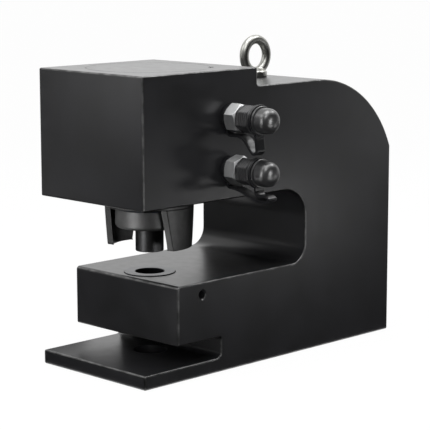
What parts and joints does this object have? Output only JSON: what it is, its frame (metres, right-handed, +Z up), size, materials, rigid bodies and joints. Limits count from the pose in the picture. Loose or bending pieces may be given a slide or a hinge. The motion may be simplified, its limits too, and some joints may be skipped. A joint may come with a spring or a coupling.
{
  "type": "hydraulic punching machine",
  "caption": "Black one-piece C-frame hydraulic punching head with punch, die table, eye bolt and capped hose couplers.",
  "frame": {"origin": "centre of the flat underside of the frame", "axes": "+Z up along the ram's axis, -X towards the open throat and the punch, -Y towards the hose couplers"},
  "size_m": [0.268, 0.1579, 0.241],
  "materials": {
    "black_paint": "satin black paint",
    "machined_steel": "ground steel",
    "dark_steel": "blackened steel",
    "tool_steel": "hardened tool steel, oiled",
    "plated_steel": "bright zinc plating",
    "bronze": "bearing bronze",
    "cap_plastic": "moulded black plastic",
    "rubber": "black rubber",
    "seal_plastic": "polyurethane"
  },
  "bodies": {
    "frame_body": {"frame": "black_paint", "cylinder_cap": "black_paint", "cap_seal": "rubber", "cap_lock_screw": "dark_steel", "rod_gland": "dark_steel", "rod_bush": "bronze", "rod_seal": "seal_plastic", "rod_wiper": "seal_plastic", "stripper": "dark_steel", "die": "tool_steel", "die_set_screw": "dark_steel", "eye_bolt": "plated_steel", "upper_coupler_body": "plated_steel", "upper_poppet_spring": "machined_steel", "upper_cap_strap": "rubber", "lower_coupler_body": "plated_steel", "lower_poppet_spring": "machined_steel", "lower_cap_strap": "rubber"},
    "ram_body": {"ram": "machined_steel", "piston_seal": "seal_plastic", "piston_wear_ring": "bronze", "punch_nut": "dark_steel", "punch": "tool_steel"},
    "upper_swivel_body": {"upper_cap_swivel": "rubber"},
    "upper_cap_body": {"upper_dust_cap": "cap_plastic"},
    "upper_poppet_body": {"upper_coupler_poppet": "machined_steel"},
    "lower_swivel_body": {"lower_cap_swivel": "rubber"},
    "lower_cap_body": {"lower_dust_cap": "cap_plastic"},
    "lower_poppet_body": {"lower_coupler_poppet": "machined_steel"}
  },
  "joints": [
    {"name": "ram_slide", "type": "slide", "parent": "frame_body", "child": "ram_body", "axis": [0, 0, -1], "range_m": [0, 0.02]},
    {"name": "upper_cap_slide", "type": "slide", "parent": "frame_body", "child": "upper_swivel_body", "axis": [0, -1, 0], "range_m": [0, 0.008], "deforming": ["upper_cap_strap"]},
    {"name": "upper_cap_turn", "type": "hinge", "parent": "upper_swivel_body", "child": "upper_cap_body", "pos_m": [-0.05, -0.086, 0.1876], "axis": [0, -1, 0], "range_deg": [0, 720]},
    {"name": "upper_poppet_slide", "type": "slide", "parent": "frame_body", "child": "upper_poppet_body", "axis": [0, 1, 0], "range_m": [0, 0.004], "stiffness_N_per_m": 1500, "springref_m": -0.003, "deforming": ["upper_poppet_spring"]},
    {"name": "lower_cap_slide", "type": "slide", "parent": "frame_body", "child": "lower_swivel_body", "axis": [0, -1, 0], "range_m": [0, 0.008], "deforming": ["lower_cap_strap"]},
    {"name": "lower_cap_turn", "type": "hinge", "parent": "lower_swivel_body", "child": "lower_cap_body", "pos_m": [-0.05, -0.086, 0.1498], "axis": [0, -1, 0], "range_deg": [0, 720]},
    {"name": "lower_poppet_slide", "type": "slide", "parent": "frame_body", "child": "lower_poppet_body", "axis": [0, 1, 0], "range_m": [0, 0.004], "stiffness_N_per_m": 1500, "springref_m": -0.003, "deforming": ["lower_poppet_spring"]}
  ],
  "couplings": [
    {"joint": "upper_cap_slide", "follows": "upper_cap_turn", "m_per_rad": 0.0006366},
    {"joint": "lower_cap_slide", "follows": "lower_cap_turn", "m_per_rad": 0.0006366}
  ]
}
